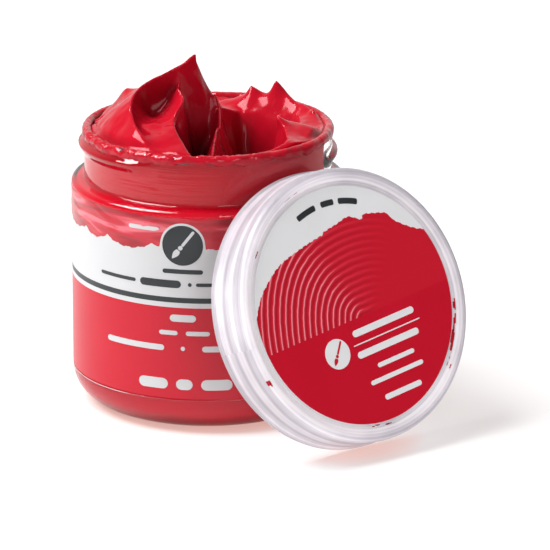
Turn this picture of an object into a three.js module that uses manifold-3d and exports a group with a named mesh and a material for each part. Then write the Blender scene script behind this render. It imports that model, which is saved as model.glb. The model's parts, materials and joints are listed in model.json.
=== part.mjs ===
// An open jar of heavy acrylic paint, with its screw cap leaning on the neck.
// Millimetres, +Z up. The origin is the centre of the jar's flat base, on the table.
import * as THREE from 'three';
import { mergeVertices } from 'three/addons/utils/BufferGeometryUtils.js';
import Module from 'manifold-3d';

const wasm = await Module();
wasm.setup();

// Jar: a clear moulded body for a 58 mm screw cap.
const BODY_R = 30.2;
const LABEL_THICKNESS = 0.25;
const FIT_GAP = 0.1;
const BASE_R = 22.2;
const BASE_CORNER_R = BODY_R - BASE_R;
const LABEL_BOTTOM_Z = 8.3;
const LABEL_TOP_Z = 49.3;
const SHOULDER_Z = 50.7;
const SHOULDER_CORNER_R = 1.2;
const NECK_BASE_Z = 51.1;
const NECK_R = 27.3;
const RIM_R = 27.6;
const RIM_Z = 62.2;
const LIP_R = 1;
const NECK_WALL = 1.7;
const BODY_WALL = 1.3;
const FLOOR_THICKNESS = 2;

// Screw thread: one start, 6 turns to the inch.
const PITCH = 25.4 / 6;
const THREAD_HEIGHT = 1.25;
const THREAD_ABOVE = 1.6;
const THREAD_BELOW = 2.6;
const THREAD_LEFT_Z = 58.6;
const THREAD_START = 248;
const THREAD_END = -25;
const THREAD_TAPER = 18;

// Cap: drawn with its open end at z = 0 and its top facing +Z, then leaned on the jar.
const CAP_R = 30.4;
const CAP_HEIGHT = 10.9;
const FLANGE_HEIGHT = 1.4;
const FLANGE_STEP = 0.35;
const CAP_CORNER_R = 1.6;
const CAP_INSIDE_R = 28.8;
const CAP_TOP_THICKNESS = 1.4;
const CREST_R = 28.2;
const RECESS_R = 26.9;
const RECESS_DEPTH = 0.9;
const CAP_THREAD_HEIGHT = 1;
const CAP_THREAD_HALF_WIDTH = 1.1;
const CAP_THREAD_START_Z = 1.8;
const CAP_LABEL_R = 25.95;
const CAP_LABEL_THICKNESS = 0.25;
const LINER_R = 28.3;
const LINER_THICKNESS = 1;
const MATING_GAP = 0.3;

// How the cap leans: the azimuth that its top faces, and how far it tips back.
const CAP_AZIMUTH = 37.1;
const CAP_LEAN = 21.7;
const CAP_CENTRE_X = 26.2;
const CAP_CENTRE_Y = -28.85;

// Paint: a level fill with a scooped hollow, ridges round it and one tall curl.
const PAINT_GAP = 0.25;
const PAINT_LEVEL = 57.5;
const CURL_TIP = new THREE.Vector3(-2.6, -1, 78.2);
const CURL_ROOT = new THREE.Vector3(-12, -1, 50);
const CURL_ROOT_R = 9;
const CURL_FLATNESS = 0.7;
const SWELLS = [
  { x: -16, y: 3, rise: 9, spread: 8 },
  { x: -11, y: -14, rise: 4, spread: 6 },
  { x: 12, y: 17, rise: 9, spread: 6 },
  { x: 21, y: 7, rise: 6, spread: 5 },
  { x: 9, y: -6, rise: -15, spread: 11 },
];

const SEGMENTS = 64;
const RING_STEP = 2.4;

const radians = THREE.MathUtils.degToRad;

function arc(centreR, centreZ, radius, fromDegrees, toDegrees, steps) {
  const points = [];
  for (let i = 0; i <= steps; i += 1) {
    const angle = radians(fromDegrees + ((toDegrees - fromDegrees) * i) / steps);
    points.push([centreR + radius * Math.cos(angle), centreZ + radius * Math.sin(angle)]);
  }
  return points;
}

function wall(radius, fromZ, toZ, step) {
  const count = Math.max(1, Math.round(Math.abs(toZ - fromZ) / step));
  const points = [];
  for (let i = 0; i <= count; i += 1) {
    points.push([radius, fromZ + ((toZ - fromZ) * i) / count]);
  }
  return points;
}

// Turns a profile of [radius, z] points, listed anticlockwise, about the Z axis.
function turned(profile) {
  const points = profile.map(([r, z]) => new THREE.Vector2(Math.max(r, 0), z));
  const geometry = new THREE.LatheGeometry(points, SEGMENTS);
  geometry.rotateX(Math.PI / 2);
  geometry.deleteAttribute('uv');
  geometry.deleteAttribute('normal');
  return mergeVertices(geometry, 1e-4);
}

// Moves each vertex of a turned geometry: move(radius, angle, z) gives its new radius and z.
function reshaped(geometry, move) {
  const position = geometry.getAttribute('position');
  for (let i = 0; i < position.count; i += 1) {
    const x = position.getX(i);
    const y = position.getY(i);
    const angle = Math.atan2(y, x);
    const [radius, z] = move(Math.hypot(x, y), angle, position.getZ(i));
    position.setXYZ(i, radius * Math.cos(angle), radius * Math.sin(angle), z);
  }
  return geometry;
}

function smoothStep(value) {
  const t = THREE.MathUtils.clamp(value, 0, 1);
  return t * t * (3 - 2 * t);
}

// Height of the neck's thread over the wall. It climbs anticlockwise, seen from above.
function neckThread(angle, z) {
  let turn = THREE.MathUtils.radToDeg(angle);
  if (turn < THREE.MathUtils.lerp(THREAD_START - 360, THREAD_END, 0.5)) {
    turn += 360;
  }
  const ends = Math.min(turn - THREAD_END, THREAD_START - turn);
  const offset = z - (THREAD_LEFT_Z + ((turn - 180) / 360) * PITCH);
  const side = offset > 0 ? offset / THREAD_ABOVE : -offset / THREAD_BELOW;
  return THREAD_HEIGHT * smoothStep(1 - side) * smoothStep(ends / THREAD_TAPER);
}

// Height of the cap's inside thread: one turn, wound the same way as the neck's.
function capThread(angle, z) {
  const turn = angle / (2 * Math.PI) + 0.5;
  const centreZ = CAP_THREAD_START_Z + turn * PITCH;
  const ends = (Math.min(turn, 1 - turn) * 360) / THREAD_TAPER;
  const side = Math.abs(z - centreZ) / CAP_THREAD_HALF_WIDTH;
  return CAP_THREAD_HEIGHT * smoothStep(1 - side) * smoothStep(ends);
}

function jarGeometry() {
  const panelR = BODY_R - LABEL_THICKNESS - FIT_GAP;
  const innerNeckR = NECK_R - NECK_WALL;
  const innerBodyR = BODY_R - LABEL_THICKNESS - BODY_WALL;
  const innerCornerR = BASE_CORNER_R - BODY_WALL;
  const innerShoulderZ = SHOULDER_Z - BODY_WALL;
  const profile = [
    [0, 0],
    ...arc(BASE_R, BASE_CORNER_R, BASE_CORNER_R, -90, 0, 6),
    [BODY_R, LABEL_BOTTOM_Z - 0.3],
    [panelR, LABEL_BOTTOM_Z - 0.1],
    [panelR, LABEL_TOP_Z + 0.1],
    ...arc(BODY_R - SHOULDER_CORNER_R, SHOULDER_Z - SHOULDER_CORNER_R, SHOULDER_CORNER_R, 0, 88, 4),
    [NECK_R + 0.5, NECK_BASE_Z],
    ...wall(NECK_R, NECK_BASE_Z + 0.5, RIM_Z - 1.4, 0.45),
    [RIM_R, RIM_Z - 1],
    ...arc(RIM_R - LIP_R, RIM_Z - LIP_R, LIP_R, 30, 150, 4),
    [innerNeckR, RIM_Z - 1.4],
    [innerNeckR, innerShoulderZ + 0.5],
    ...arc(innerBodyR - SHOULDER_CORNER_R, innerShoulderZ - SHOULDER_CORNER_R, SHOULDER_CORNER_R, 80, 0, 3),
    ...arc(innerBodyR - innerCornerR, FLOOR_THICKNESS + innerCornerR, innerCornerR, 0, -90, 4),
    [0, FLOOR_THICKNESS],
  ];
  return reshaped(turned(profile), (radius, angle, z) => {
    const onNeckWall = Math.abs(radius - NECK_R) < 0.01 && z > NECK_BASE_Z;
    return [onNeckWall ? radius + neckThread(angle, z) : radius, z];
  });
}

function paintSurface(x, y) {
  let z = PAINT_LEVEL;
  for (const swell of SWELLS) {
    const distance = Math.hypot(x - swell.x, y - swell.y) / swell.spread;
    z += swell.rise * Math.exp(-distance * distance);
  }
  return z;
}

function curlGeometry() {
  const height = CURL_TIP.z - CURL_ROOT.z;
  const profile = [[0, 0]];
  for (let i = 0; i < 12; i += 1) {
    profile.push([CURL_ROOT_R * (1 - i / 12) ** 0.85, (height * i) / 12]);
  }
  profile.push([0, height]);
  const geometry = turned(profile);
  const position = geometry.getAttribute('position');
  for (let i = 0; i < position.count; i += 1) {
    const z = position.getZ(i);
    const lean = (z / height) ** 2;
    const centre = CURL_ROOT.clone().lerp(CURL_TIP, lean);
    position.setXYZ(
      i,
      centre.x + position.getX(i),
      centre.y + position.getY(i) * CURL_FLATNESS,
      CURL_ROOT.z + z,
    );
  }
  return geometry;
}

function paintGeometry() {
  const sideR = BODY_R - LABEL_THICKNESS - BODY_WALL - PAINT_GAP;
  const neckR = NECK_R - NECK_WALL - PAINT_GAP;
  const cornerR = BASE_CORNER_R - BODY_WALL;
  const floorZ = FLOOR_THICKNESS + PAINT_GAP;
  const shoulderZ = SHOULDER_Z - BODY_WALL - PAINT_GAP;
  const edgeZ = PAINT_LEVEL;
  const rings = Math.round(neckR / RING_STEP);
  const profile = [
    [0, floorZ],
    ...arc(sideR - cornerR, floorZ + cornerR, cornerR, -90, 0, 4),
    ...arc(sideR - SHOULDER_CORNER_R, shoulderZ - SHOULDER_CORNER_R, SHOULDER_CORNER_R, 0, 80, 3),
    [neckR, shoulderZ + 0.3],
  ];
  for (let i = 0; i <= rings; i += 1) {
    profile.push([neckR * (1 - i / rings), edgeZ]);
  }
  const fill = reshaped(turned(profile), (radius, angle, z) => {
    const onTop = z > edgeZ - 0.01;
    const top = paintSurface(radius * Math.cos(angle), radius * Math.sin(angle));
    return [radius, onTop ? top : z];
  });
  return joined(fill, curlGeometry());
}

function toSolid(geometry) {
  const vertProperties = new Float32Array(geometry.getAttribute('position').array);
  const triVerts = new Uint32Array(geometry.index.array);
  return new wasm.Manifold(new wasm.Mesh({ numProp: 3, vertProperties, triVerts }));
}

function joined(first, second) {
  const mesh = toSolid(first).add(toSolid(second)).getMesh();
  const geometry = new THREE.BufferGeometry();
  geometry.setAttribute('position', new THREE.BufferAttribute(mesh.vertProperties, 3));
  geometry.setIndex(new THREE.BufferAttribute(mesh.triVerts, 1));
  return geometry;
}

// A thin sleeve round the body, with its seam at the back.
function wrapLabelGeometry() {
  const seam = radians(90);
  const halfGap = 0.3 / BODY_R;
  const shape = new THREE.Shape();
  shape.absarc(0, 0, BODY_R, seam + halfGap, seam - halfGap + 2 * Math.PI, false);
  shape.absarc(0, 0, BODY_R - LABEL_THICKNESS, seam - halfGap + 2 * Math.PI, seam + halfGap, true);
  shape.closePath();
  const geometry = new THREE.ExtrudeGeometry(shape, {
    depth: LABEL_TOP_Z - LABEL_BOTTOM_Z,
    bevelEnabled: false,
    curveSegments: SEGMENTS,
  });
  geometry.translate(0, 0, LABEL_BOTTOM_Z);
  return geometry;
}

function capGeometry() {
  const sideR = CAP_R - FLANGE_STEP;
  const recessZ = CAP_HEIGHT - RECESS_DEPTH;
  const ceilingZ = recessZ - CAP_TOP_THICKNESS;
  const profile = [
    [0, ceilingZ],
    ...wall(CAP_INSIDE_R, ceilingZ, 0.3, 0.45),
    [CAP_INSIDE_R + 0.3, 0],
    [CAP_R - 0.2, 0],
    [CAP_R, 0.2],
    [CAP_R, FLANGE_HEIGHT],
    [sideR, FLANGE_HEIGHT + 0.3],
    ...arc(sideR - CAP_CORNER_R, CAP_HEIGHT - CAP_CORNER_R, CAP_CORNER_R, 0, 90, 5),
    [CREST_R, CAP_HEIGHT - 0.05],
    [RECESS_R, recessZ],
    [0, recessZ],
  ];
  return reshaped(turned(profile), (radius, angle, z) => {
    const onInsideWall = Math.abs(radius - CAP_INSIDE_R) < 0.01 && z < ceilingZ - MATING_GAP - LINER_THICKNESS;
    return [onInsideWall ? radius - capThread(angle, z) : radius, z];
  });
}

function discGeometry(radius, thickness, bottomZ) {
  const geometry = new THREE.CylinderGeometry(radius, radius, thickness, SEGMENTS);
  geometry.rotateX(Math.PI / 2);
  geometry.translate(0, 0, bottomZ + thickness / 2);
  return geometry;
}

function part(name, geometry, look) {
  const mesh = new THREE.Mesh(geometry, new THREE.MeshStandardMaterial(look));
  mesh.name = name;
  return mesh;
}

const PAINT_RED = { color: 0xc8102e, roughness: 0.25, metalness: 0 };
const LABEL_PRINT = { color: 0xc41f35, roughness: 0.35, metalness: 0 };
const CLEAR_PLASTIC = { color: 0xf2e6e6, roughness: 0.08, metalness: 0, transparent: true, opacity: 0.3 };
const FROSTED_PLASTIC = { color: 0xeee8ee, roughness: 0.45, metalness: 0 };
const WHITE_FOAM = { color: 0xf7f7f5, roughness: 0.8, metalness: 0 };

const jar = new THREE.Group();
jar.add(part('jar', jarGeometry(), CLEAR_PLASTIC));
jar.add(part('wrap_label', wrapLabelGeometry(), LABEL_PRINT));
jar.add(part('paint', paintGeometry(), PAINT_RED));

const cap = new THREE.Group();
const recessZ = CAP_HEIGHT - RECESS_DEPTH;
const linerZ = recessZ - CAP_TOP_THICKNESS - LINER_THICKNESS - MATING_GAP;
cap.add(part('cap', capGeometry(), FROSTED_PLASTIC));
cap.add(part('cap_liner', discGeometry(LINER_R, LINER_THICKNESS, linerZ), WHITE_FOAM));
cap.add(part(
  'cap_label',
  discGeometry(CAP_LABEL_R, CAP_LABEL_THICKNESS, recessZ + MATING_GAP),
  LABEL_PRINT,
));

// The cap stands on the edge of its open end. Its axis points away from the jar and up.
const azimuth = radians(CAP_AZIMUTH);
const lean = radians(CAP_LEAN);
const outward = new THREE.Vector3(
  Math.sin(azimuth) * Math.cos(lean),
  -Math.cos(azimuth) * Math.cos(lean),
  Math.sin(lean),
);
const sideways = new THREE.Vector3(Math.cos(azimuth), Math.sin(azimuth), 0);
const upward = new THREE.Vector3().crossVectors(outward, sideways);
cap.setRotationFromMatrix(new THREE.Matrix4().makeBasis(sideways, upward, outward));
cap.position.set(CAP_CENTRE_X, CAP_CENTRE_Y, CAP_R * Math.cos(lean));

const paintJar = new THREE.Group();
paintJar.add(jar, cap);

export default paintJar;
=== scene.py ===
import json
import math

import bpy
import numpy as np
from mathutils import Matrix, Vector


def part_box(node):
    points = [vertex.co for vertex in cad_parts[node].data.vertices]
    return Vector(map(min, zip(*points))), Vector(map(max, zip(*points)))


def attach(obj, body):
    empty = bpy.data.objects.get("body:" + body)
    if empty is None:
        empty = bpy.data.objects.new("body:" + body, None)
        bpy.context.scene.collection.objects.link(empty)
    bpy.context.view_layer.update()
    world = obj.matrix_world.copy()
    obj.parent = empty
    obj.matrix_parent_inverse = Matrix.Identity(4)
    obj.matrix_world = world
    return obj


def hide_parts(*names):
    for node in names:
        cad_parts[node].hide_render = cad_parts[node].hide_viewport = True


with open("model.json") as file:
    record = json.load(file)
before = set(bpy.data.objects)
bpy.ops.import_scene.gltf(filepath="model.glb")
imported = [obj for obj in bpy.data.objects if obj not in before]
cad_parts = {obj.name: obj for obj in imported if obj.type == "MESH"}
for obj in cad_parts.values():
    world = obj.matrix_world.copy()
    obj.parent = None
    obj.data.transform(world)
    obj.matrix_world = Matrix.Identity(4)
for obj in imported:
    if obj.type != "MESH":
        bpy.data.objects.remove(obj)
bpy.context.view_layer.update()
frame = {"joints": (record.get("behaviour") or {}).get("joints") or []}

# An open jar of thick red acrylic paint, with its frosted screw cap leaning on the neck.
# Shapes are worked out in millimetres in the frame's own axes, and meshes are made in metres.

MM = 0.001
SEED = 58

# ------------------ sizes from the frame


def size_of(node):
    low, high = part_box(node)
    return [(b - a) / MM for a, b in zip(low, high)]


BODY_R = size_of("jar")[0] / 2
RIM_Z = size_of("jar")[2]
PAINT_TOP_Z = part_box("paint")[1][2] / MM

LABEL_THICKNESS = 0.08
PANEL_R = BODY_R - 0.2
BASE_CORNER_R = 8.0
BASE_R = BODY_R - BASE_CORNER_R
BODY_WALL = 1.3
FLOOR_THICKNESS = 2
NECK_R = BODY_R - 2.9
NECK_WALL = 1.7
NECK_BASE_Z = RIM_Z - 11.1
SHOULDER_Z = RIM_Z - 11.5
SHOULDER_CORNER_R = 1.2
RIM_R = NECK_R + 0.3
LIP_R = 1.0
LABEL_BOTTOM_Z = 8.3
LABEL_TOP_Z = SHOULDER_Z - 1.4

# One-start thread, 6 turns to the inch; it climbs anticlockwise seen from above.
PITCH = 25.4 / 6
THREAD_HEIGHT = 1.25
THREAD_ABOVE = 1.6  # how far its section reaches over its crest, and under it
THREAD_BELOW = 2.6
THREAD_LEFT_Z = RIM_Z - 3.6
THREAD_START = 248
THREAD_END = -25
THREAD_TAPER = 18

# The cap, in its own frame: open end at z = 0, top facing +z.
CAP_R = 30.4
CAP_HEIGHT = 10.9
CAP_DRAFT = 0.12
CAP_SIDE_R = CAP_R - 0.35 - CAP_DRAFT
CAP_CORNER_R = 1.6
CAP_INSIDE_R = 28.8
CREST_R = 28.2
RECESS_R = 26.9
RECESS_DEPTH = 0.9
RECESS_Z = CAP_HEIGHT - RECESS_DEPTH
CAP_TOP_THICKNESS = 1.4
CAP_THREAD_DEPTH = 1.0
CAP_THREAD_HALF_WIDTH = 1.1
CAP_THREAD_LOW_Z = 1.8
CAP_LABEL_R = 25.95
LINER_R = 28.3
LINER_THICKNESS = 1.0
GROOVE_HALF_WIDTH = 0.9
GROOVE_DEPTH = 0.12

turn_joint = next(j for j in frame["joints"] if j["name"] == "cap_turn")
cap_axis = Vector(turn_joint["axis"]).normalized()
cap_sideways = Vector((0, 0, 1)).cross(cap_axis).normalized()
cap_upward = cap_axis.cross(cap_sideways)
CAP_FRAME = Matrix.Translation(Vector(turn_joint["pos_m"]) / MM) @ Matrix(
    (cap_sideways, cap_upward, cap_axis)
).transposed().to_4x4()

# ------------------ mesh helpers


def add_mesh(name, vertices, faces, body, slot, place=None):
    """Makes a piece from points in millimetres and seats it on a body."""
    points = np.asarray(vertices, dtype=float)
    if place is not None:
        matrix = np.array(place)
        points = points @ matrix[:3, :3].T + matrix[:3, 3]
    mesh = bpy.data.meshes.new(name)
    mesh.from_pydata((points * MM).tolist(), [], faces)
    mesh.update()
    mesh.validate()
    for polygon in mesh.polygons:
        polygon.use_smooth = True
    mesh.set_sharp_from_angle(angle=math.radians(48))
    piece = bpy.data.objects.new(name, mesh)
    bpy.context.scene.collection.objects.link(piece)
    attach(piece, body)
    return piece


def dress(piece, *materials):
    """Gives a piece its materials, in order."""
    for material in materials:
        piece.data.materials.append(material.material)


def colour_faces(piece, kinds):
    """Sets which of its materials each face of a piece has."""
    for polygon, kind in zip(piece.data.polygons, kinds):
        polygon.material_index = int(kind)


def arc(centre_r, centre_z, radius, start, end, steps):
    angles = np.radians(np.linspace(start, end, steps + 1))
    return [(centre_r + radius * math.cos(a), centre_z + radius * math.sin(a)) for a in angles]


def polar(radius, angle):
    return radius * math.cos(angle), radius * math.sin(angle)


def rotated(x, y, degrees):
    c, s = polar(1, math.radians(degrees))
    return c * x - s * y, s * x + c * y


def wall(radius, start_z, end_z, step):
    count = max(1, round(abs(end_z - start_z) / step))
    return [(radius, z) for z in np.linspace(start_z, end_z, count + 1)]


def line(start, end, steps):
    return [tuple(p) for p in np.linspace(start, end, steps + 1)]


def turned(profile, segments, reshape=None):
    """A solid of revolution. The profile starts and ends on the axis, or closes on itself."""
    on_axis = profile[0][0] == 0
    rings = profile[1:-1] if on_axis else profile
    angles = np.linspace(0, 2 * math.pi, segments, endpoint=False)
    vertices = []
    for radius, z in rings:
        for angle in angles:
            r, height = reshape(radius, angle, z) if reshape else (radius, z)
            vertices.append((*polar(r, angle), height))
    faces = []
    pairs = list(zip(range(len(rings) - 1), range(1, len(rings))))
    if not on_axis:
        pairs.append((len(rings) - 1, 0))
    for low, high in pairs:
        for i in range(segments):
            j = (i + 1) % segments
            a, b = low * segments, high * segments
            faces.append((a + i, a + j, b + j, b + i))
    if on_axis:
        for point, ring, order in ((profile[0], 0, -1), (profile[-1], len(rings) - 1, 1)):
            centre = len(vertices)
            vertices.append((0, 0, point[1]))
            for i in range(segments):
                j = (i + 1) % segments
                corner = (ring * segments + i, ring * segments + j, centre)
                faces.append(corner[::order])
    return vertices, faces


def smooth_step(value):
    t = np.clip(value, 0, 1)
    return t * t * (3 - 2 * t)


def spline(points, per_span):
    """Points along a Catmull-Rom curve through the given ones."""
    p = np.array([points[0], *points, points[-1]], dtype=float)
    out = []
    for a, b, c, d in zip(p, p[1:], p[2:], p[3:]):
        for t in np.arange(per_span) / per_span:
            cubic = 2 * a - 5 * b + 4 * c - d + t * (3 * b - a - 3 * c + d)
            out.append(b + 0.5 * t * ((c - a) + t * cubic))
    out.append(p[-1])
    return np.array(out)


# ------------------ material helpers


class Nodes:
    """Short calls for the nodes that a material or the backdrop needs."""

    def __init__(self, tree):
        self.tree = tree

    def node(self, kind, inputs=(), **settings):
        """A new node, with its inputs by name or number and its settings."""
        made = self.tree.nodes.new(kind)
        for key, value in settings.items():
            setattr(made, key, value)
        for key, value in dict(inputs).items():
            self.feed(made.inputs[key], value)
        return made

    def feed(self, socket, value):
        if isinstance(value, bpy.types.NodeSocket):
            self.tree.links.new(value, socket)
        else:
            socket.default_value = value

    def math(self, operation, *values):
        return self.node("ShaderNodeMath", enumerate(values), operation=operation).outputs[0]

    def times(self, a, b):
        return self.math("MULTIPLY", a, b)

    def plus(self, a, b):
        return self.math("ADD", a, b)

    def square_sum(self, a, b):
        return self.plus(self.times(a, a), self.times(b, b))

    def wave(self, value, pace, drift):
        """A sine wave, with its phase shifted by a drift."""
        return self.math("SINE", self.plus(self.times(value, pace), drift))

    def span(self, value, low, high, to_low=0.0, to_high=1.0):
        """A value between low and high, carried over to another span and kept inside it."""
        return self.node("ShaderNodeMapRange", enumerate((value, low, high, to_low, to_high))).outputs[0]

    def parts(self, vector):
        return self.node("ShaderNodeSeparateXYZ", {0: vector}).outputs

    def openness(self, reach):
        """How open a point's surroundings are, from 0 to 1, within a reach in metres."""
        return self.node("ShaderNodeAmbientOcclusion", {"Distance": reach}, samples=12).outputs["AO"]


class Material(Nodes):
    """A material with one principled shader, whose patterns follow the piece's own place."""

    def __init__(self, name, **sockets):
        self.material = bpy.data.materials.new(name)
        self.material.use_nodes = True
        super().__init__(self.material.node_tree)
        self.shader = self.tree.nodes["Principled BSDF"]
        for socket, value in sockets.items():
            self.set(socket.replace("_", " "), value)
        self.place = self.node("ShaderNodeTexCoord").outputs["Object"]

    def noise(self, scale, detail=3.0, stretch=(1, 1, 1), distortion=0.0):
        mapping = self.node("ShaderNodeMapping", {"Vector": self.place, "Scale": stretch})
        inputs = {"Vector": mapping.outputs[0], "Scale": scale, "Detail": detail, "Distortion": distortion}
        return self.node("ShaderNodeTexNoise", inputs).outputs["Fac"]

    def ramp(self, value, stops):
        made = self.node("ShaderNodeValToRGB", {0: value})
        elements = made.color_ramp.elements
        while len(elements) < len(stops):
            elements.new(0.5)
        for element, (position, colour) in zip(elements, stops):
            element.position = position
            element.color = (*colour, 1)
        return made.outputs["Color"]

    def bump(self, height, strength, distance, under=None):
        inputs = {"Strength": strength, "Distance": distance, "Height": height}
        if under is not None:
            inputs["Normal"] = under
        return self.node("ShaderNodeBump", inputs).outputs[0]

    def set(self, socket, value):
        self.feed(self.shader.inputs[socket], value)

    def colour(self, tone, stops):
        self.set("Base Color", self.ramp(tone, stops))

    def relief(self, height, strength, distance, under=None):
        self.set("Normal", self.bump(height, strength, distance, under))


# ------------------ stage, camera and lights

# The floor as the jar's gloss mirrors it: a white sheet, brightest on the left, that ends at its
# right edge and at its front. Beyond it the table is dim.
SHEET_EDGE_X = 0.045
SHEET_BRIGHT_X = -0.2
SHEET_REACH = 0.222

# The light that the floor gives off: more to the camera, a little to every ray, and more to the
# rays that light the jar. Within this reach of the jar's red foot its glow turns pink: painted red light
# bounced from the jar.
FLOOR_SEEN = 0.57
FLOOR_GLOW = 0.05
FLOOR_BOUNCE = 0.9
RED_BOUNCE_REACH = 0.0055


def make_stage():
    bpy.ops.mesh.primitive_plane_add(size=6, location=(0, 0, -0.0001))
    floor = bpy.context.object
    floor.name = "floor"
    white = Material("floor_white", Roughness=0.8)
    grain = white.noise(6, detail=2)
    white.colour(grain, [(0.3, (0.32, 0.34, 0.34)), (0.7, (0.34, 0.36, 0.36))])
    rays = white.node("ShaderNodeLightPath").outputs
    bounced = white.math("MAXIMUM", rays["Is Diffuse Ray"], rays["Is Transmission Ray"])
    glow = white.plus(white.times(rays["Is Camera Ray"], FLOOR_SEEN), FLOOR_GLOW)
    red_bounce_glow = [(0.2, (1, 0.62, 0.55)), (0.95, (1, 0.93, 0.92))]
    # Pinker glow where the jar closes the floor in: painted red bounce light near the foot.
    white.set("Emission Color", white.ramp(white.openness(RED_BOUNCE_REACH), red_bounce_glow))
    across, along, _ = white.parts(white.place)
    square = white.square_sum(across, along)
    left_of_edge = white.math("LESS_THAN", across, SHEET_EDGE_X)
    within_reach = white.math("LESS_THAN", square, SHEET_REACH**2)
    on_sheet = white.times(left_of_edge, within_reach)
    brightness = white.span(across, SHEET_EDGE_X, SHEET_BRIGHT_X, 0.15, 0.95)
    sheet = white.times(brightness, on_sheet)
    sheen = white.times(rays["Is Glossy Ray"], sheet)
    soft = white.plus(glow, white.times(bounced, FLOOR_BOUNCE))
    white.set("Emission Strength", white.plus(soft, sheen))
    dress(floor, white)


CAMERA_ELEVATION = math.radians(17.22)
CAMERA_DISTANCE = 1188
CAMERA_TARGET = Vector((14.75, 0, 27.38))


def make_camera():
    forward = Vector((0, math.cos(CAMERA_ELEVATION), -math.sin(CAMERA_ELEVATION)))
    data = bpy.data.cameras.new("camera")
    data.sensor_width = 36
    data.lens = 350.25
    camera = bpy.data.objects.new("camera", data)
    camera.location = (CAMERA_TARGET - CAMERA_DISTANCE * forward) * MM
    camera.rotation_euler = forward.to_track_quat("-Z", "Y").to_euler()
    bpy.context.scene.collection.objects.link(camera)
    bpy.context.scene.camera = camera


def add_softbox(name, azimuth, elevation, distance, size, power):
    """A square light that faces the jar. Azimuth 0 is in front of it, and 90 to its right."""
    data = bpy.data.lights.new(name, "AREA")
    data.shape = "RECTANGLE"
    data.size = size[0]
    data.size_y = size[1]
    data.energy = power
    light = bpy.data.objects.new(name, data)
    turn, rise = math.radians(azimuth), math.radians(elevation)
    away = Vector((math.sin(turn) * math.cos(rise), -math.cos(turn) * math.cos(rise), math.sin(rise)))
    light.location = away * distance + Vector((0, 0, 0.03))
    light.rotation_euler = (-away).to_track_quat("-Z", "Y").to_euler()
    bpy.context.scene.collection.objects.link(light)


def make_lights():
    """A white backdrop, bright behind the jar, with a large softbox on the left and a small fill."""
    world = bpy.data.worlds.new("studio")
    bpy.context.scene.world = world
    world.use_nodes = True
    studio = Nodes(world.node_tree)
    backdrop = studio.tree.nodes["Background"]
    studio.feed(backdrop.inputs["Color"], (1, 1, 1, 1))
    rays = studio.node("ShaderNodeLightPath").outputs
    seen = studio.math("MAXIMUM", rays["Is Camera Ray"], rays["Is Transmission Ray"])
    _, to_the_back, _ = studio.parts(studio.node("ShaderNodeTexCoord").outputs["Generated"])
    behind = studio.span(to_the_back, 0.3, 1, 0, 0.75)
    mirrored = studio.times(rays["Is Glossy Ray"], behind)
    bright = studio.math("MAXIMUM", seen, mirrored)
    studio.feed(backdrop.inputs["Strength"], studio.span(bright, 0, 1, 0.18, 1.1))
    add_softbox("key_softbox", -86, 55, 3.0, (1.8, 1.8), 195)
    add_softbox("fill_softbox", 25, 14, 3.0, (1.6, 1.6), 28)
    bpy.context.scene.view_settings.view_transform = "Standard"


# ------------------ paint

PAINT_WALL_R = NECK_R - NECK_WALL + 0.05
CRATER_Z = 49.0
EDGE_Z = RIM_Z - 1.0

# The bare patch of the neck, where paint has come off the wall: its middle in degrees round the
# jar, its height, its reach both ways, and how far the paint draws back as part of its radius.
BARE_TURN = -4
BARE_HALF_TURN = 16
BARE_Z = 57
BARE_HALF_HEIGHT = 5
BARE_DEPTH = 0.11

# Paint that was left on the jar's wall climbs outwards from this radius.
LINING_FROM_R = 21.5
LINING_SPAN = PAINT_WALL_R - 22.5
LINING_RISE = 14

# Close to the wall the paint ends at the rim's height.
WALL_FROM_R = 24.2
WALL_SPAN = 1.2

# A dimple on the left, as deep as its radius, and the bulge of paint at the front right.
DIMPLE_AT = (-23.6, 2.5)
DIMPLE_R = 2.4
BULGE_AT = (17, -19)
BULGE_R = 9
BULGE_RISE = 1.3

# Lines where the paint was torn or scooped, as (x, y, z) points. Each scoop is a smooth sheet
# through its rim lines and a few points of its floor, and the paint's top is the lowest sheet.
CURL_CREST = [
    (-15.2, -17, 65.9), (-16.1, -14.5, 67.3), (-16.7, -11, 69), (-16.3, -7.5, 70.3), (-15.1, -5, 71.7),
    (-13, -3.5, 73), (-9.7, -2.5, 74.6), (-6.4, -1.5, 76),
]
CURL_TIP = [(-6.4, -1.5, 76), (-4.4, -1.2, 77), (-3, -1, 78)]
CURL_BACK = [
    (-3, -1, 78), (-3, 0.3, 75.4), (-2, 1, 72.6), (-1.2, 1.5, 70.9), (0, 3, 67.4), (1.7, 3.5, 67.3),
]
LOBE_EDGE = [
    (-6.4, -4, 71.9), (-5.3, -6, 70.8), (-5.3, -8, 69.6), (-6.1, -9.5, 68.4), (-6.9, -11, 67.2),
    (-7.1, -13.5, 66), (-6.7, -16, 65), (-5.5, -19, 63.7), (-4.3, -22, 62.8), (-3, -25, 62),
]
MIDDLE_RIDGE = [(2.5, 3, 65.3), (2.6, -4, 63.3), (2, -8, 63.3), (1.3, -17, 61.9), (1, -22, 61)]
WAVE_EDGE = [
    (3.5, 9, 63.5), (6.5, 15, 60.6), (8.3, 15.3, 60.8), (10.8, 15, 61), (14, 13.2, 59.8),
    (16.1, 12.4, 60.3), (19, 10.5, 61.3), (19.5, 5, 61.5), (17.5, 0, 62),
]
CHUNK_EDGE = [
    (17.5, 0, 62), (15.7, -6, 65.3), (16.7, -9, 64.1), (17.2, -12, 63.4), (17.4, -15, 63.3),
    (16.8, -18, 63.3),
]
FRONT_EDGE = [(16.8, -18, 63.3), (14, -21.3, 63.4), (10, -23.3, 62.5), (5, -25, 62), (0, -25.5, 61.9)]


def drawn(line_points):
    """A torn edge as a run of close points."""
    return [tuple(point) for point in spline(line_points, 5)]


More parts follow.
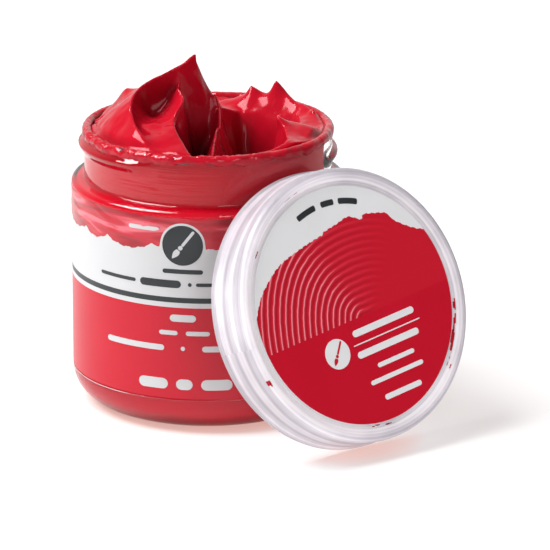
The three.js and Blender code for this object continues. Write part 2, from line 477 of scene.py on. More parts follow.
CREST, TIP, BACK, LOBE, RIDGE, WAVE, CHUNK, FRONT = (
    drawn(points)
    for points in (
        CURL_CREST, CURL_TIP, CURL_BACK, LOBE_EDGE, MIDDLE_RIDGE, WAVE_EDGE, CHUNK_EDGE, FRONT_EDGE
    )
)
HEAP = [
    *CREST, *TIP, *BACK, *WAVE, *CHUNK, *FRONT,
    (-10, -10, 75), (-3, -8, 78), (-18.5, -13, 65.4), (-20.5, -8, 66), (-21.5, -2, 65.6), (-24.5, -6, 62.3),
    (-25, 0, 62.3), (-22, -12.5, 62.6), (-18, -18, 62.4), (-13.5, -21.5, 62.2), (-7, -24.5, 62),
    (-17.3, 5, 68.8), (-18.1, 5, 68.8), (-18.5, 0, 67.2), (-20.5, 5, 65), (-24, 8, 62.3), (-13, 8, 66.4),
    (-8, 8, 67.5), (-4, 7, 68.5), (-17, 14, 62), (-8, 16, 61.5), (0, 13, 62), (-12, 22, 61), (0, 25, 61),
    (3, 8, 64), (8.4, 20, 63.9), (9.7, 19, 64.9), (12.5, 18, 64), (15.1, 16.5, 66.6), (18.2, 14.5, 64.1),
    (21.1, 12.5, 63.7), (24.7, 8, 64.2), (10, 23.2, 61.8), (15, 20.6, 62), (20, 16, 62), (25.4, 3, 62),
    (22.4, 8, 62.7),
    (19.5, -7, 64), (21.8, -6.5, 63.8), (23.4, -7, 63.1), (21, -11, 62.8), (20, -15, 62.6), (24, -3, 61.6),
    (20, 0, 61.4), (8, 0, 63), (8, -12, 62.5),
]
HOLLOW = [
    *CREST, *LOBE,
    (-13.2, -2.7, 67), (-11, -2, 66.9), (-9, -1.3, 68), (-7.4, -1.1, 70.2), (-14, -6, 66.6),
    (-14.6, -10, 66), (-11, -6, 65.5), (-9, -6, 66.9), (-8, -10, 66.6), (-11.5, -12, 65.5),
    (-14.2, -14, 65.2), (-12, -17, 64.2), (-9, -17, 64.5), (-12, -21, 62.6), (-8, -23.8, 62),
    (-17.5, -18, 68),
]
CAVITY = [
    *TIP, *BACK, *LOBE, *RIDGE,
    (-4.5, -0.6, 66), (-3, 0.4, 65), (-3.5, -1.4, 60.5), (-1.5, -0.4, 60), (0.8, 0.4, 60),
    (-3.6, -4.5, 57.5), (-3, -8, 56), (-3.6, -12, 56.5), (-3.4, -16, 56.5), (-1.8, -12, 55),
    (0.4, -6, 57), (0, -14, 57), (-2, -21, 56), (0, -25, 61.6), (8, 6, 72), (8, -3, 72),
    (8, -12, 71), (7, -20, 70),
]
CRATER = [
    *RIDGE, *WAVE, *CHUNK, *FRONT,
    (2.2, 4.5, 66), (5, 6, 54), (7, 12, 53), (12, 11, 52), (16, 8.5, 53), (8, 0, 50), (8, 6, 50),
    (12, 3, 50), (13, -5, 51), (15.2, -2, 53), (10, -12, 51), (15.6, -12, 54), (6, -15, 52),
    (4.6, -6, 55), (13, -16, 53), (9, -20, 55), (4, -20.5, 56), (-5, 2, 94), (-5, -10, 86), (-5, -20, 78),
]
# Tips that the spatula drew up: place (x, y), reach, rise and how far the point hooks to the right.
TIPS = [
    ((-3.2, -1), 3.0, 0.2, 0.7), ((9.7, 19), 2.4, 0.6, -0.4), ((15.1, 16.5), 3.4, 1.4, -0.4),
    ((15.7, -6), 2.6, 0.9, -0.7), ((2.5, 3), 1.8, 0.7, 0), ((24.7, 8), 1.6, 0.6, 0),
]
CURL_LEAN = 7
LEAN_FROM_Z = 65


def leaning(z):
    """How far the paint at a height leans towards the front."""
    return CURL_LEAN * np.clip((z - LEAN_FROM_Z) / (PAINT_TOP_Z - LEAN_FROM_Z), 0, 1) ** 1.4


def sheet_through(points):
    """A smooth sheet, as a thin plate bent through points that are given where they lean."""
    p = np.array(points, dtype=float)
    p[:, 1] += leaning(p[:, 2])
    count = len(p)

    def bend(x, y):
        squared = (x[..., None] - p[:, 0]) ** 2 + (y[..., None] - p[:, 1]) ** 2
        return squared * np.log(squared + 1e-9)

    system = np.zeros((count + 3, count + 3))
    system[:count, :count] = bend(p[:, 0], p[:, 1]) + 0.05 * np.eye(count)
    system[:count, count] = 1
    system[:count, count + 1 :] = p[:, :2]
    system[count:, :count] = system[:count, count:].T
    weights = np.linalg.solve(system, np.concatenate([p[:, 2], np.zeros(3)]))

    def height(x, y):
        flat = weights[count] + weights[count + 1] * x + weights[count + 2] * y
        return bend(x, y) @ weights[:count] + flat

    return height


def smooth_min(values, softness):
    """The smallest of several surfaces, with its creases slightly rounded."""
    stack = -np.array(values) / softness
    top = stack.max(axis=0)
    return -softness * (top + np.log(np.exp(stack - top).sum(axis=0)))


def value_noise(x, y, cell, number):
    """Smooth noise over the plan, about -1 to 1. Each number is another pattern."""
    cells = 64
    table = np.random.default_rng(SEED + number).uniform(-1, 1, (cells, cells))
    gx, gy = x / cell + 31, y / cell + 31
    ix, iy = np.floor(gx).astype(int), np.floor(gy).astype(int)
    fx, fy = smooth_step(gx - ix), smooth_step(gy - iy)

    def corner(i, j):
        return table[(ix + i) % cells, (iy + j) % cells]

    low = corner(0, 0) * (1 - fx) + corner(1, 0) * fx
    high = corner(0, 1) * (1 - fx) + corner(1, 1) * fx
    return low * (1 - fy) + high * fy


def paint_surface(x, y):
    """Height of the paint over the plan, in millimetres."""
    radius = np.hypot(x, y)
    height = smooth_min([sheet_through(points)(x, y) for points in (HEAP, HOLLOW, CAVITY, CRATER)], 0.12)
    lining = LINING_RISE * smooth_step((radius - LINING_FROM_R) / LINING_SPAN) + CRATER_Z - 1.5
    height = np.maximum(np.maximum(height, lining), CRATER_Z)
    for depth, cell, number in ((0.3, 5.2, 4), (0.22, 3.1, 1), (0.09, 1.3, 2)):
        height += depth * value_noise(x, y, cell, number)
    height -= DIMPLE_R * smooth_step(1 - np.hypot(x - DIMPLE_AT[0], y - DIMPLE_AT[1]) / DIMPLE_R)
    near_wall = smooth_step((radius - WALL_FROM_R) / WALL_SPAN)
    bulge = smooth_step(1 - np.hypot(x - BULGE_AT[0], y - BULGE_AT[1]) / BULGE_R)
    edge = EDGE_Z + 0.4 * value_noise(x, y, 4, 3) + BULGE_RISE * bulge
    return np.minimum(height, PAINT_TOP_Z) * (1 - near_wall) + np.minimum(height, edge + 0.6) * near_wall


def paint_side():
    """The side of the fill, from the middle of its bottom up to the neck, against the jar's wall."""
    side_r = PANEL_R - BODY_WALL + 0.05
    corner_r = BASE_CORNER_R - BODY_WALL
    low_z = FLOOR_THICKNESS - 0.05
    shoulder_z = SHOULDER_Z - BODY_WALL + 0.05
    return [
        (0, low_z),
        *line((2, low_z), (side_r - corner_r - 0.5, low_z), 12),
        *arc(side_r - corner_r, low_z + corner_r, corner_r, -90, 0, 10),
        *wall(side_r, low_z + corner_r + 1, shoulder_z - SHOULDER_CORNER_R - 0.5, 0.8),
        *arc(side_r - SHOULDER_CORNER_R, shoulder_z - SHOULDER_CORNER_R, SHOULDER_CORNER_R, 0, 80, 6),
        *wall(PAINT_WALL_R, shoulder_z + 0.5, EDGE_Z - 0.7, 0.4),
    ]


def make_paint():
    turns, rings = 420, 110
    side = paint_side()
    profile = side + [(PAINT_WALL_R * (1 - i / rings), RIM_Z) for i in range(rings)] + [(0, RIM_Z)]
    vertices, faces = turned(profile, turns)
    points = np.array(vertices)
    top = points[:, 2] > RIM_Z - 0.01
    points[top, 2] = paint_surface(points[top, 0], points[top, 1])
    points[:, 1] -= leaning(points[:, 2]) * top
    turn = np.degrees(np.arctan2(points[:, 1], points[:, 0]))
    near_turn = smooth_step(1 - abs(turn - BARE_TURN) / BARE_HALF_TURN)
    near_height = smooth_step(1 - abs(points[:, 2] - BARE_Z) / BARE_HALF_HEIGHT)
    points[:, :2] *= (1 - BARE_DEPTH * near_turn * near_height * ~top)[:, None]
    paint = add_mesh("paint_heap", points, faces, "jar", "wet_paint")
    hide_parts("paint")
    soften(paint, 0.3, 2)
    for tip in TIPS:
        draw_up(paint, *tip)
    dress(paint, paint_material("wet_acrylic", 0.12), fill_material())
    colour_faces(paint, [against_jar(polygon) for polygon in paint.data.polygons])


def against_jar(polygon):
    """Whether a face of the paint is pressed against the jar's wall or floor."""
    x, y, z = polygon.center / MM
    upright = abs(polygon.normal.z) < 0.7 or z < NECK_BASE_Z
    on_wall = math.hypot(x, y) > PAINT_WALL_R - 0.5 and upright
    return on_wall or z < CRATER_Z - 1


def draw_up(paint, place, reach, rise, hook):
    """Draws the highest point near a place up into a fine tip."""
    points = np.empty(3 * len(paint.data.vertices))
    paint.data.vertices.foreach_get("co", points)
    points = points.reshape(-1, 3) / MM
    near = np.hypot(points[:, 0] - place[0], points[:, 1] - place[1]) < 1.5
    peak = points[near][points[near][:, 2].argmax()]
    pull = np.clip(1 - np.linalg.norm(points - peak, axis=1) / reach, 0, 1) ** 2
    points[:, 0] += hook * pull
    points[:, 2] += rise * pull
    paint.data.vertices.foreach_set("co", (points * MM).ravel())
    paint.data.update()


# How far down the lip's inside its film of paint starts, and how far the film reaches round it.
LIP_SIDE = 0.9
FILM_WIDTH = 4.8
FILM_CREST_LIFT = 0.12
FILM_ROUGH_TURN = 235


def lip_point(distance):
    """A point of the lip's section and its outward direction, from inside the neck to outside."""
    bend = distance - LIP_SIDE
    if bend < 0:
        return (RIM_R - 2 * LIP_R, RIM_Z - LIP_R + bend), (-1, 0)
    if bend < math.pi * LIP_R:
        direction = (-math.cos(bend / LIP_R), math.sin(bend / LIP_R))
        return (RIM_R - LIP_R + LIP_R * direction[0], RIM_Z - LIP_R + LIP_R * direction[1]), direction
    return (RIM_R, RIM_Z - LIP_R - (bend - math.pi * LIP_R)), (1, 0)


def make_lip_film():
    """Paint smeared over the lip, rough at the front left and torn at its outer edge."""
    columns, steps = 900, 16
    vertices, faces = [], []
    for i in range(columns):
        angle = 2 * math.pi * i / columns
        c, s = polar(1, angle)
        x, y = RIM_R * c, RIM_R * s
        rough = 0.3 + 0.7 * smooth_step(1 - abs(math.degrees(angle) - FILM_ROUGH_TURN) / 90)
        width = FILM_WIDTH + 0.5 * value_noise(x, y, 2.7, 4) + 0.35 * value_noise(x, y, 0.9, 5)
        section = []
        for k in range(steps + 1):
            part = k / steps
            (r, z), (dr, dz) = lip_point(part * width)
            crumbs = value_noise(x + 9 * part, y, 0.8, 6)
            crumbs += value_noise(x, y + 9 * part, 1.7, 7)
            fine = value_noise(x + 5 * part, y - 7 * part, 0.45, 8)
            grain = rough * (0.20 * max(crumbs, -0.4) + 0.14 * fine)
            lift = (FILM_CREST_LIFT + grain) * (1 - part**6) + 0.02
            section.append((r + lift * dr, z + lift * dz))
        for k in range(steps, -1, -1):
            (r, z), (dr, dz) = lip_point(k / steps * width)
            section.append((r - 0.1 * dr, z - 0.1 * dz))
        vertices += [(r * c, r * s, z) for r, z in section]
    count = 2 * (steps + 1)
    for i in range(columns):
        a, b = i * count, (i + 1) % columns * count
        for k in range(count):
            n = (k + 1) % count
            faces.append((a + k, a + n, b + n, b + k))
    film = add_mesh("paint_on_lip", vertices, faces, "jar", "wet_paint")
    dress(film, paint_material("acrylic_on_lip", 0.5, 0.5))


def fill_material():
    """The paint pressed against the jar's wall, which has no gloss of its own there."""
    fill = Material("acrylic_on_wall", Roughness=1.0, Specular_IOR_Level=0.0)
    _, _, z = fill.parts(fill.place)
    height = fill.span(z, 0, RIM_Z * MM)
    tone = fill.plus(height, fill.times(fill.noise(70, detail=3), 0.03))
    # Near black in the lowest few millimetres: a painted contact shadow where the jar stands on the floor.
    colours = [
        (0.03, (0.06, 0.002, 0.004)), (0.085, (0.54, 0.003, 0.020)), (0.7, (0.56, 0.003, 0.018)),
        (0.95, (0.56, 0.003, 0.015)),
    ]
    fill.colour(tone, colours)
    return fill


def soften(piece, voxel, passes):
    """Remeshes a piece evenly, so that its parts join as thick paint does, and smooths it."""
    bpy.context.view_layer.objects.active = piece
    remesh = piece.modifiers.new("remesh", "REMESH")
    remesh.mode = "VOXEL"
    remesh.voxel_size = voxel * MM
    remesh.use_smooth_shade = True
    smooth = piece.modifiers.new("smooth", "SMOOTH")
    smooth.iterations = passes
    for modifier in list(piece.modifiers):
        bpy.ops.object.modifier_apply(modifier=modifier.name)


def paint_material(name, grain, gloss=0.24):
    paint = Material(name, Specular_IOR_Level=gloss, Specular_Tint=(1, 0.6, 0.64, 1))
    tone = paint.times(paint.math("SUBTRACT", paint.noise(140, detail=3), 0.5), 0.25)
    # Colour darkens where the paint is closed in: painted shade in hollows, creases and the crater, with
    # random tone on top.
    depth = paint.plus(paint.openness(0.014), tone)
    colours = [(0.08, (0.07, 0.002, 0.004)), (0.34, (0.20, 0.002, 0.007)), (0.8, (0.37, 0.004, 0.014))]
    paint.colour(depth, colours)
    paint.set("Roughness", paint.span(paint.noise(420), 0.2, 0.8, 0.08, 0.17))
    streaks = paint.noise(500, detail=3, stretch=(1, 0.3, 0.6))
    drags = paint.times(paint.noise(210, detail=1, stretch=(1, 0.5, 0.7)), 14)
    paint.relief(paint.plus(streaks, drags), grain, 0.0003)
    return paint


# ------------------ jar


def neck_thread(angle, z):
    """Height of the neck's thread over the wall."""
    turn = math.degrees(angle)
    if turn > (THREAD_START + 360 + THREAD_END) / 2:
        turn -= 360
    ends = min(turn - THREAD_END, THREAD_START - turn)
    offset = z - (THREAD_LEFT_Z + (turn - 180) / 360 * PITCH)
    side = offset / THREAD_ABOVE if offset > 0 else -offset / THREAD_BELOW
    return THREAD_HEIGHT * smooth_step(1 - side) * smooth_step(ends / THREAD_TAPER)


def clear_plastic():
    """Clear moulded plastic, with slow waves and fine rings from its mould."""
    clear = Material("clear_pet", IOR=1.5, Transmission_Weight=1.0)
    clear.set("Base Color", (1.0, 0.985, 0.985, 1))
    clear.set("Roughness", clear.span(clear.noise(300), 0.35, 0.75, 0.02, 0.09))
    waves = clear.bump(clear.noise(60, stretch=(1, 1, 2.5)), 0.12, 0.0006)
    mould_rings = clear.noise(1100, detail=2, stretch=(0.02, 0.02, 1))
    clear.relief(mould_rings, 0.2, 0.0001, waves)
    return clear


def make_jar():
    inner_neck_r = NECK_R - NECK_WALL
    inner_body_r = PANEL_R - BODY_WALL
    inner_corner_r = BASE_CORNER_R - BODY_WALL
    inner_shoulder_z = SHOULDER_Z - BODY_WALL
    profile = [
        (0, 0),
        *line((2, 0), (BASE_R - 1, 0), 8),
        *arc(BASE_R, BASE_CORNER_R, BASE_CORNER_R, -90, 0, 14),
        (BODY_R, LABEL_BOTTOM_Z - 0.4),
        (PANEL_R, LABEL_BOTTOM_Z - 0.15),
        *wall(PANEL_R, LABEL_BOTTOM_Z, LABEL_TOP_Z, 6),
        (PANEL_R, LABEL_TOP_Z + 0.05),
        (BODY_R - 0.02, LABEL_TOP_Z + 0.15),
        *arc(BODY_R - SHOULDER_CORNER_R, SHOULDER_Z - SHOULDER_CORNER_R, SHOULDER_CORNER_R, 0, 86, 9),
        (NECK_R + 1.2, SHOULDER_Z + 0.12),
        *arc(NECK_R + 0.6, NECK_BASE_Z + 0.4, 0.6, 260, 190, 5),
        *wall(NECK_R, NECK_BASE_Z + 0.6, RIM_Z - 1.5, 0.2),
        (RIM_R, RIM_Z - 1.2),
        *arc(RIM_R - LIP_R, RIM_Z - LIP_R, LIP_R, 10, 150, 9),
        (inner_neck_r, RIM_Z - 1.4),
        *wall(inner_neck_r, RIM_Z - 2, inner_shoulder_z + 0.6, 1),
        *arc(inner_body_r - SHOULDER_CORNER_R, inner_shoulder_z - SHOULDER_CORNER_R, SHOULDER_CORNER_R,
             80, 0, 6),
        *arc(inner_body_r - inner_corner_r, FLOOR_THICKNESS + inner_corner_r, inner_corner_r, 0, -90, 10),
        (0, FLOOR_THICKNESS),
    ]

    def reshape(radius, angle, z):
        on_neck_wall = abs(radius - NECK_R) < 0.01 and z > NECK_BASE_Z
        return (radius + neck_thread(angle, z), z) if on_neck_wall else (radius, z)

    jar = add_mesh("jar_shell", *turned(profile, 200, reshape), "jar", "clear_plastic")
    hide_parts("jar")
    dress(jar, clear_plastic())


# ------------------ thin printed or smeared shapes

INK = 0.03


def thin_shape(columns, place, thickness=INK):
    """A thin closed solid on a surface. columns are (along, low, high); place maps them to 3-D."""
    vertices, faces = [], []
    for along, low, high in columns:
        for across, lift in ((low, 0), (high, 0), (high, thickness), (low, thickness)):
            vertices.append(place(along, across, lift))
    last = 4 * (len(columns) - 1)
    for start in range(0, last, 4):
        for k in range(4):
            n = (k + 1) % 4
            faces.append((start + k, start + n, start + 4 + n, start + 4 + k))
    faces.append((3, 2, 1, 0))
    faces.append((last, last + 1, last + 2, last + 3))
    return vertices, faces


def merged(shapes):
    vertices, faces = [], []
    for points, polygons in shapes:
        offset = len(vertices)
        vertices += points
        faces += [tuple(i + offset for i in polygon) for polygon in polygons]
    return vertices, faces


def bar(centre, length, middle, height, step=0.4):
    """Columns of a bar with rounded ends."""
    half, radius = length / 2, min(height / 2, length / 2)
    count = max(8, int(length / step))
    columns = []
    for t in np.linspace(0, math.pi, count):
        s = -half * math.cos(t)
        cut = max(0.0, abs(s) - (half - radius))
        tall = math.sqrt(max(radius**2 - cut**2, 0)) * (height / 2) / radius
        columns.append((centre + s, middle - max(tall, 0.01), middle + max(tall, 0.01)))
    return columns


def turned_columns(columns, centre, degrees, place):
    """A thin shape of the columns, turned about a centre."""

    def turned_place(along, across, lift):
        dx, dy = rotated(along - centre[0], across - centre[1], degrees)
        return place(centre[0] + dx, centre[1] + dy, lift)

    return thin_shape(columns, turned_place)


def brush_icon(centre, size, place):
    """A plain paintbrush, drawn as a handle, a ferrule and a pointed tip."""
    x, y = centre
    handle = bar(x + 0.46 * size, 1.0 * size, y, 0.15 * size, 0.15)
    ferrule = bar(x - 0.17 * size, 0.24 * size, y, 0.24 * size, 0.08)
    tip = []
    for t in np.linspace(0, 1, 14):
        half = 0.17 * size * math.sin(math.pi * (0.18 + 0.8 * t)) * (1.05 - 0.35 * t)
        tip.append((x - (0.33 + 0.55 * t) * size, y - max(half, 0.01), y + max(half, 0.01)))
    tip.reverse()
    return [turned_columns(part, centre, 52, place) for part in (handle, ferrule, tip)]


# ------------------ wrap label

BAND_LOW_Z = 30.2
BLACK_LINE = 1.2
WHITE_LINE = 1.1
SCALLOP_Z = 43.3
ART_CENTRE = -10.0
BADGE_Z = 43.2
BADGE_R = 4.5
BADGE_RIM = 0.5
RED, WHITE, DARK, BRUSHED = range(4)


def on_label(along, across, lift):
    """A point of the label: millimetres to the right of the artwork's middle, and height."""
    angle = math.radians(ART_CENTRE) + along / BODY_R - math.pi / 2
    return (*polar(BODY_R + lift, angle), across)


def scallops():
    """Places of the printed edge's cusps round the label, and how far it sags after each."""
    rng = np.random.default_rng(SEED)
    around = math.pi * BODY_R
    cusps, sags = [-around], []
    while cusps[-1] < around:
        cusps.append(cusps[-1] + rng.uniform(6.5, 12.5))
        sags.append(rng.uniform(0.9, 1.9))
    return cusps, sags


def ragged_edge(along, cusps, sags):
    """Height of the torn edge between the red top and the white band."""
    i = max(k for k, cusp in enumerate(cusps[:-1]) if cusp <= along + 1e-6)
    t = (along - cusps[i]) / (cusps[i + 1] - cusps[i])
    edge = SCALLOP_Z - sags[i] * math.sin(math.pi * min(max(t, 0), 1)) ** 0.7
    edge += 0.12 * math.sin(along * 2.3) + 0.06 * math.sin(along * 5.9)
    reach = BADGE_R + BADGE_RIM
    if abs(along) < reach:
        edge = max(edge, BADGE_Z + math.sqrt(reach**2 - along**2))
    return edge


def brushed_relief(along, z, edge):
    """Height of the brush marks printed and embossed in the red top, in millimetres."""
    depth = np.clip((z - edge) / 1.2, 0, 1)
    swirl = z * 1.9 + 1.7 * math.sin(along * 0.33) + 0.7 * math.sin(along * 0.61 + 1)
    fade = 0.5 + 0.5 * math.sin(along * 0.47 + z * 0.9)
    return 0.065 * depth * fade * (math.sin(swirl * 1.5) + 0.6 * math.sin(swirl * 3.4 + along * 0.2))


def joined_columns(columns, per_column, bands, hidden):
    """Faces between neighbouring columns of points, and which material each of them has."""
    faces = []
    for c in range(columns - 1):
        a, b = c * per_column, (c + 1) * per_column
        for k in range(per_column):
            n = (k + 1) % per_column
            faces.append((a + k, b + k, b + n, a + n))
    kinds = bands + [hidden] * (per_column - len(bands))
    return faces, kinds * (columns - 1)


def make_wrap_label():
    cusps, sags = scallops()
    around = math.pi * BODY_R
    overlap = 4.0
    columns = 720
    line_z = [LABEL_BOTTOM_Z, 12, 18, 24, BAND_LOW_Z - WHITE_LINE, BAND_LOW_Z, BAND_LOW_Z + BLACK_LINE]
    band_rows, top_rows = 4, 22
    bands = [RED] * 4 + [WHITE, DARK] + [WHITE] * band_rows + [BRUSHED] * top_rows
    vertices = []
    per_column = len(line_z) + band_rows + top_rows + 2
    for along in np.linspace(-around, around + overlap, columns):
        edge = ragged_edge(min(along, around - 0.1), cusps, sags)
        rows = line_z + list(np.linspace(line_z[-1], edge, band_rows + 1)[1:])
        rows += list(np.linspace(edge, LABEL_TOP_Z, top_rows + 1)[1:])
        over = LABEL_THICKNESS * 1.3 * smooth_step(along - around + 1)
        for z in rows:
            relief = brushed_relief(along, z, edge) if z > edge else 0
            vertices.append(on_label(along, z, over + relief))
        for z in (LABEL_TOP_Z, LABEL_BOTTOM_Z):
            vertices.append(on_label(along, z, over - LABEL_THICKNESS))
    faces, kinds = joined_columns(columns, per_column, bands, RED)
    for start, order in ((0, 1), ((columns - 1) * per_column, -1)):
        ring = [start + k for k in range(per_column)]
        inner_low, inner_high = ring[-1], ring[-2]
        split = len(line_z)
        faces.append(tuple([*ring[:split], inner_low][::order]))
        faces.append(tuple([*ring[split - 1 : -2], inner_high, inner_low][::order]))
        kinds += [WHITE, WHITE]
    label = add_mesh("wrap_label_film", vertices, faces, "jar", "wrap_print")
    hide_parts("wrap_label")
    dress(label, red_print("wrap_red"), white_print("wrap_white"), dark_print("wrap_dark"), brushed_print())
    colour_faces(label, kinds)


def mottled(ink, tone, low, high, strength):
    """Colours a print unevenly between two colours, both made lighter or darker by a strength. The cap's
    inks get a strength above 1: painted light on the cap's face.
    """
    stops = [(0.1, low), (0.9, high)]
    scaled = [(at, tuple(strength * part for part in colour)) for at, colour in stops]
    ink.colour(tone, scaled)


def red_print(name, strength=1.0, gloss=0.35):
    ink = Material(name, Specular_IOR_Level=gloss)
    mottled(ink, ink.noise(90, detail=2), (0.42, 0.003, 0.015), (0.46, 0.004, 0.019), strength)
    ink.set("Roughness", ink.span(ink.noise(60, detail=0), 0.0, 1.0, 0.27, 0.33))
    ink.relief(ink.noise(60, detail=0), 0.06, 0.0004)
    return ink


def white_print(name, strength=1.0):
    ink = Material(name, Roughness=0.32, Specular_IOR_Level=0.35)
    mottled(ink, ink.noise(110, detail=2), (0.47, 0.47, 0.48), (0.51, 0.51, 0.52), strength)
    ink.relief(ink.noise(60), 0.08, 0.0004)
    return ink


def dark_print(name):
    ink = Material(name, Roughness=0.35)
    tone = ink.noise(160, detail=2)
    ink.colour(tone, [(0.3, (0.014, 0.017, 0.02)), (0.7, (0.022, 0.026, 0.03))])
    return ink


def brushed_print():
    """Red with lighter strokes, as printed brush marks have."""
    ink = Material("wrap_brushed", Roughness=0.3)
    strokes = ink.noise(190, detail=3, stretch=(0.3, 0.3, 1.6), distortion=0.8)
    colours = [
        (0.34, (0.27, 0.003, 0.012)), (0.48, (0.40, 0.004, 0.016)), (0.58, (0.44, 0.012, 0.028)),
        (0.68, (0.60, 0.11, 0.14)),
    ]
    ink.colour(strokes, colours)
    ink.relief(strokes, 0.25, 0.0003)
    ink.set("Coat Weight", 0.25)
    ink.set("Coat Roughness", 0.08)
    return ink


def make_wrap_print():
    """Plain bars where a label has words, and a round badge with a brush."""
    per_degree = math.radians(1) * BODY_R
    dark_bars = [  # middle and length in degrees round the jar, height of the middle, thickness
        (-30.3, 19, 34.4, 0.8), (-9.7, 18, 34.4, 1.7), (3.0, 1.6, 34.4, 0.9), (12.0, 13, 34.4, 0.8),
        (29.0, 18, 34.4, 1.7), (0, 17, 37.3, 1.0),
    ]
    pale_bars = [
        (-17.0, 14, 46.5, 0.9), (0, 11, 26.7, 1.6), (-6.2, 8, 23.3, 1.0), (6.2, 10, 23.3, 1.0),
        (-22, 28, 19.8, 1.3), (0, 1.8, 19.8, 1.0), (22, 28, 19.8, 1.3),
        (-13, 13, 11.6, 2.4), (0.5, 7, 11.6, 2.4), (14, 13, 11.6, 2.4),
    ]
    for row in range(9):  # small print at the back, left-aligned
        length = 46 if row % 3 else 34
        pale_bars.append((180 + (46 - length) / 2, length, 26.4 - 1.7 * row, 0.6))

    def shapes(bars):
        return [
            thin_shape(bar(middle * per_degree, length * per_degree, z, height), on_label)
            for middle, length, z, height in bars
        ]

    badge = thin_shape(bar(0, 2 * BADGE_R, BADGE_Z, 2 * BADGE_R, 0.25), on_label)
    dark = add_mesh("wrap_marks_dark", *merged([*shapes(dark_bars), badge]), "jar", "wrap_print")
    dress(dark, dark_print("marks_dark"))

    def on_badge(along, across, lift):
        return on_label(along, across, lift + INK)

    icon = brush_icon((0, BADGE_Z), BADGE_R * 0.95, on_badge)
    pale = add_mesh("wrap_marks_pale", *merged([*shapes(pale_bars), *icon]), "jar", "wrap_print")
    dress(pale, white_print("marks_pale"))


# ------------------ cap


def cap_top_profile():
    """The outside of the cap from the foot of its skirt to the edge of its recess."""
    return [
        *arc(CAP_R - 0.3, 0.3, 0.3, -90, 0, 4),
        *wall(CAP_R, 0.5, 1.2, 0.35),
        *arc(CAP_R - 0.25, 1.3, 0.25, 10, 80, 3),
        (CAP_SIDE_R + CAP_DRAFT, 1.75),
        *line((CAP_SIDE_R + CAP_DRAFT, 2.1), (CAP_SIDE_R, CAP_HEIGHT - CAP_CORNER_R - 0.2), 10),
        *arc(CAP_SIDE_R - CAP_CORNER_R, CAP_HEIGHT - CAP_CORNER_R, CAP_CORNER_R, 0, 88, 9),
        (CREST_R + 0.2, CAP_HEIGHT),
        *arc(CREST_R + 0.05, CAP_HEIGHT - 0.3, 0.3, 80, 150, 3),
        *arc(RECESS_R + 0.3, RECESS_Z + 0.3, 0.3, 210, 260, 3),
    ]


def cap_thread(angle, z):
    """Height of the inside thread: one turn, wound the same way as the neck's."""
    turn = (angle / (2 * math.pi) + 0.5) % 1
    centre_z = CAP_THREAD_LOW_Z + turn * PITCH
    ends = min(turn, 1 - turn) * 360 / THREAD_TAPER
    side = abs(z - centre_z) / CAP_THREAD_HALF_WIDTH
    return CAP_THREAD_DEPTH * smooth_step(1 - side) * smooth_step(ends)


def frosted_plastic():
    """Frosted plastic, with the thread inside shining through the skirt as painted bands, the skirt painted
    darker as shade, and a faint painted glow.
    """
    frosted = Material("frosted_pp", IOR=1.49, Transmission_Weight=0.3)
    across, upward, height = frosted.parts(sticker_place(frosted))
    radius = frosted.math("SQRT", frosted.square_sum(across, upward))
    turn = frosted.math("ARCTAN2", upward, across)
    along_skirt = frosted.plus(height, frosted.times(turn, PITCH / (2 * math.pi)))
    drift = frosted.times(frosted.noise(40, detail=2), 2.0)
    wide = frosted.wave(along_skirt, 1.5, drift)
    narrow = frosted.wave(along_skirt, 3.6, drift)
    thread_shade = frosted.plus(wide, frosted.times(narrow, 0.45))
    on_skirt = frosted.span(radius, RIM_R, CAP_R - 1)
    bands = frosted.times(frosted.times(thread_shade, on_skirt), 0.15)
    rings = frosted.wave(radius, 9, drift)
    lines = frosted.wave(height, 11, drift)
    fine = frosted.times(frosted.plus(rings, lines), 0.05)
    # The skirt is painted darker than the top: painted shade on the cap's side.
    skirt_shade = frosted.times(on_skirt, 0.38)
    shade = frosted.math("SUBTRACT", frosted.plus(bands, fine), skirt_shade)
    tone = frosted.plus(shade, frosted.noise(45, detail=3))
    colours = [
        (0.0, (0.34, 0.315, 0.35)), (0.27, (0.54, 0.51, 0.56)), (0.50, (0.82, 0.775, 0.82)),
        (0.80, (0.90, 0.865, 0.90)),
    ]
    frosted.colour(tone, colours)
    frosted.set("Roughness", frosted.span(frosted.noise(240), 0.3, 0.7, 0.3, 0.46))
    frosted.relief(fine, 0.3, 0.0003, frosted.bump(bands, 0.3, 0.0008))
    # A faint whitish glow over the whole cap: painted light.
    frosted.set("Emission Color", (1, 0.95, 0.96, 1))
    frosted.set("Emission Strength", 0.1)
    frosted.set("Subsurface Weight", 0.6)
    frosted.set("Subsurface Radius", (1.0, 0.9, 1.0))
    frosted.set("Subsurface Scale", 0.004)
    return frosted


def make_cap():
    ceiling_z = RECESS_Z - CAP_TOP_THICKNESS
    profile = [
        (0, ceiling_z),
        *line((2, ceiling_z), (LINER_R - 0.5, ceiling_z), 8),
        *wall(CAP_INSIDE_R, ceiling_z - 0.15, 0.5, 0.25),
        (CAP_INSIDE_R + 0.1, 0.2),
        (CAP_INSIDE_R + 0.4, 0),
        *cap_top_profile(),
        *line((RECESS_R - 0.2, RECESS_Z), (2, RECESS_Z), 14),
        (0, RECESS_Z),
    ]

    def reshape(radius, angle, z):
        on_inside = abs(radius - CAP_INSIDE_R) < 0.01 and z < ceiling_z - 1.2
        return (radius - cap_thread(angle, z), z) if on_inside else (radius, z)

    cap = add_mesh("cap_shell", *turned(profile, 220, reshape), "cap", "frosted_plastic", CAP_FRAME)
    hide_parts("cap")
    dress(cap, frosted_plastic())


def liner_foam():
    foam = Material("liner_foam", Roughness=0.75)
    cells = foam.node("ShaderNodeTexVoronoi", {"Vector": foam.place, "Scale": 2600})
    depth = cells.outputs["Distance"]
    foam.colour(depth, [(0.0, (0.86, 0.86, 0.84)), (0.8, (0.93, 0.93, 0.92))])
    foam.relief(depth, 0.3, 0.0002)
    return foam


